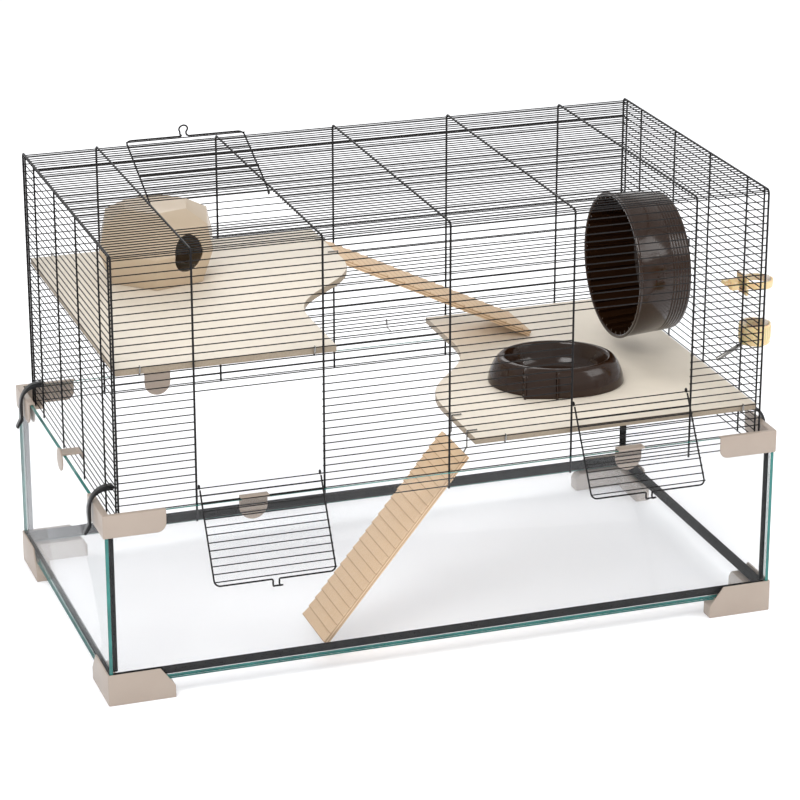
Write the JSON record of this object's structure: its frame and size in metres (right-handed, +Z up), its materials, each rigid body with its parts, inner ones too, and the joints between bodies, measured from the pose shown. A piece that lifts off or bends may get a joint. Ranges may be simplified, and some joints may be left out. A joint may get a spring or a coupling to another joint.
{
  "type": "hamster cage",
  "caption": "Long hamster cage: glass tank on corner feet with a lift-off wire top, hinged doors, shelves, ladders, wheel, house, bowl and bottle.",
  "frame": {"origin": "bottom centre of the whole object's box, on the surface the feet stand on", "axes": "+X along the cage's length, from the upper shelf's end to the wheel's end; +Y to the back, away from the doors; +Z up"},
  "size_m": [1.0276, 0.621, 0.7109],
  "materials": {
    "glass": "clear float glass with polished edges",
    "silicone": "satin black",
    "beige_plastic": "satin moulded",
    "black_wire": "gloss black powder coat",
    "steel": "bright",
    "cream_board": "matt laminate",
    "plywood": "raw birch plywood",
    "house_plastic": "satin moulded",
    "brown_plastic": "gloss",
    "black_plastic": "gloss",
    "clear_plastic": "clear",
    "amber_plastic": "translucent gloss"
  },
  "bodies": {
    "tank": {"glass_front": "glass", "glass_back": "glass", "glass_left": "glass", "glass_right": "glass", "glass_floor": "glass", "silicone_corner_seams": "silicone", "silicone_floor_seams": "silicone", "foot_front_left": "beige_plastic", "foot_front_right": "beige_plastic", "foot_back_left": "beige_plastic", "foot_back_right": "beige_plastic", "cap_front_left": "beige_plastic", "cap_front_right": "beige_plastic", "cap_back_left": "beige_plastic", "cap_back_right": "beige_plastic"},
    "wire_top": {"rim_clips_long_sides": "beige_plastic", "rim_clips_ends": "beige_plastic", "hoop_front_legs": "black_wire", "hoop_back_legs": "black_wire", "hoop_tops": "black_wire", "front_bars": "black_wire", "back_bars": "black_wire", "top_bars": "black_wire", "side_left_posts": "black_wire", "side_left_bars": "black_wire", "side_right_posts": "black_wire", "side_right_bars": "black_wire", "shelf_hooks": "steel", "shelf_upper": "cream_board", "shelf_lower": "cream_board", "wheel_axle": "steel", "wheel_axle_cap": "brown_plastic", "wheel_bracket": "black_plastic", "bottle_cap": "amber_plastic", "bottle_tube": "steel", "bottle_ring": "amber_plastic"},
    "door_left": {"door_left_frame": "black_wire", "door_left_bars": "black_wire"},
    "door_right": {"door_right_frame": "black_wire", "door_right_bars": "black_wire"},
    "door_top": {"door_top_frame": "black_wire", "door_top_bars": "black_wire"},
    "ladder_low": {"ladder_lower": "plywood", "ladder_lower_hooks": "steel"},
    "ladder_high": {"ladder_upper": "plywood", "ladder_upper_hooks": "steel"},
    "hide": {"house": "house_plastic"},
    "wheel": {"wheel_drum": "brown_plastic"},
    "dish": {"bowl": "brown_plastic"},
    "bottle": {"bottle_body": "clear_plastic"},
    "ball": {"bottle_ball": "steel"},
    "wing_nut": {"bottle_wing_nut": "amber_plastic"},
    "lever_front_left": {"lever_clip_front_left": "black_plastic"},
    "lever_front_right": {"lever_clip_front_right": "black_plastic"},
    "lever_back_left": {"lever_clip_back_left": "black_plastic"},
    "lever_back_right": {"lever_clip_back_right": "black_plastic"}
  },
  "joints": [
    {"name": "wire_top_lift", "type": "slide", "parent": "tank", "child": "wire_top", "axis": [0, 0, 1], "range_m": [0, 0.35]},
    {"name": "door_left_swing", "type": "hinge", "parent": "wire_top", "child": "door_left", "pos_m": [-0.27682, -0.21689, 0.29875], "axis": [-1, 0, 0], "range_deg": [0, 150]},
    {"name": "door_right_swing", "type": "hinge", "parent": "wire_top", "child": "door_right", "pos_m": [0.26543, -0.21689, 0.3525], "axis": [-1, 0, 0], "range_deg": [0, 148]},
    {"name": "door_top_swing", "type": "hinge", "parent": "wire_top", "child": "door_top", "pos_m": [-0.27682, 0.01414, 0.6359], "axis": [1, 0, 0], "range_deg": [0, 157]},
    {"name": "ladder_low_lift", "type": "slide", "parent": "wire_top", "child": "ladder_low", "axis": [0, 0, 1], "range_m": [0, 0.1]},
    {"name": "ladder_high_lift", "type": "slide", "parent": "wire_top", "child": "ladder_high", "axis": [0, 0, 1], "range_m": [0, 0.1]},
    {"name": "hide_lift", "type": "slide", "parent": "wire_top", "child": "hide", "axis": [0, 0, 1], "range_m": [0, 0.045]},
    {"name": "wheel_spin", "type": "hinge", "parent": "wire_top", "child": "wheel", "pos_m": [0.3923, 0.06401, 0.453], "axis": [1, 0, 0], "continuous": true},
    {"name": "dish_lift", "type": "slide", "parent": "wire_top", "child": "dish", "axis": [0, 0, 1], "range_m": [0, 0.12]},
    {"name": "bottle_lift", "type": "slide", "parent": "wire_top", "child": "bottle", "axis": [0, 0, 1], "range_m": [0, 0.16]},
    {"name": "ball_push", "type": "slide", "parent": "wire_top", "child": "ball", "axis": [0.8944, 0, 0.4472], "range_m": [0, 0.003]},
    {"name": "wing_nut_spin", "type": "hinge", "parent": "wire_top", "child": "wing_nut", "pos_m": [0.4543, -0.13799, 0.47613], "axis": [1, 0, 0], "continuous": true},
    {"name": "lever_front_left_swing", "type": "hinge", "parent": "wire_top", "child": "lever_front_left", "pos_m": [-0.4738, -0.17099, 0.29875], "axis": [0, 1, 0], "range_deg": [0, 60]},
    {"name": "lever_front_right_swing", "type": "hinge", "parent": "wire_top", "child": "lever_front_right", "pos_m": [0.4624, -0.17099, 0.29875], "axis": [0, -1, 0], "range_deg": [0, 60]},
    {"name": "lever_back_left_swing", "type": "hinge", "parent": "wire_top", "child": "lever_back_left", "pos_m": [-0.4738, 0.25301, 0.29875], "axis": [0, 1, 0], "range_deg": [0, 60]},
    {"name": "lever_back_right_swing", "type": "hinge", "parent": "wire_top", "child": "lever_back_right", "pos_m": [0.4624, 0.25301, 0.29875], "axis": [0, -1, 0], "range_deg": [0, 60]}
  ]
}
